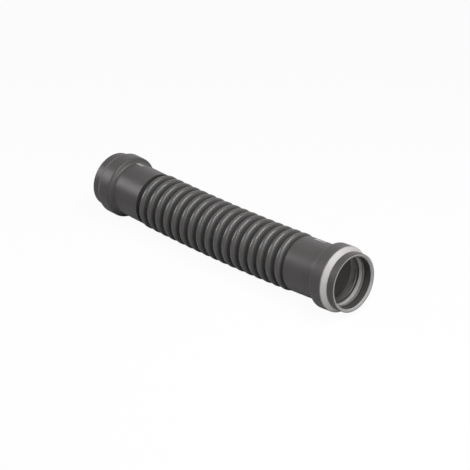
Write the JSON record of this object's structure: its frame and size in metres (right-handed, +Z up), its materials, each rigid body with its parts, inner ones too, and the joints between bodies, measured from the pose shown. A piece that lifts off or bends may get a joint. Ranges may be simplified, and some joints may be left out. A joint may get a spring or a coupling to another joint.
{
  "type": "flexible drain coupling",
  "caption": "Flexible ribbed drain hose with a rigid push-fit socket and rubber lip seal at each end, slightly bent.",
  "frame": {"origin": "centre of the bounding box in plan, on the floor that the middle ribs and the two bead rims rest on", "axes": "+X along the chord of the bent coupling from the far mouth to the near mouth, +Z up, the bend bulges down and slightly to -Y"},
  "size_m": [0.3416, 0.065, 0.0652],
  "materials": {
    "hose_plastic": "dark grey moulded polypropylene with a soft sheen",
    "near_socket_plastic": "dark grey smooth polypropylene, cone and end face paler",
    "far_socket_plastic": "dark grey smooth polypropylene, cone and end face paler",
    "near_seal_rubber": "black rubber with a slight shine",
    "far_seal_rubber": "black rubber with a slight shine"
  },
  "bodies": {
    "hose": {"corrugated_hose": "hose_plastic"},
    "near_end": {"near_socket": "near_socket_plastic", "near_lip_seal": "near_seal_rubber"},
    "far_end": {"far_socket": "far_socket_plastic", "far_lip_seal": "far_seal_rubber"}
  },
  "joints": [
    {"name": "near_flex", "type": "hinge", "parent": "hose", "child": "near_end", "pos_m": [0.05211, -0.00102, 0.0288], "axis": [0, 0, 1], "range_deg": [-23.1, 21.9], "deforming": ["corrugated_hose"]},
    {"name": "far_flex", "type": "hinge", "parent": "hose", "child": "far_end", "pos_m": [-0.05211, -0.00102, 0.0288], "axis": [0, 0, -1], "range_deg": [-23.1, 21.9], "deforming": ["corrugated_hose"]}
  ]
}
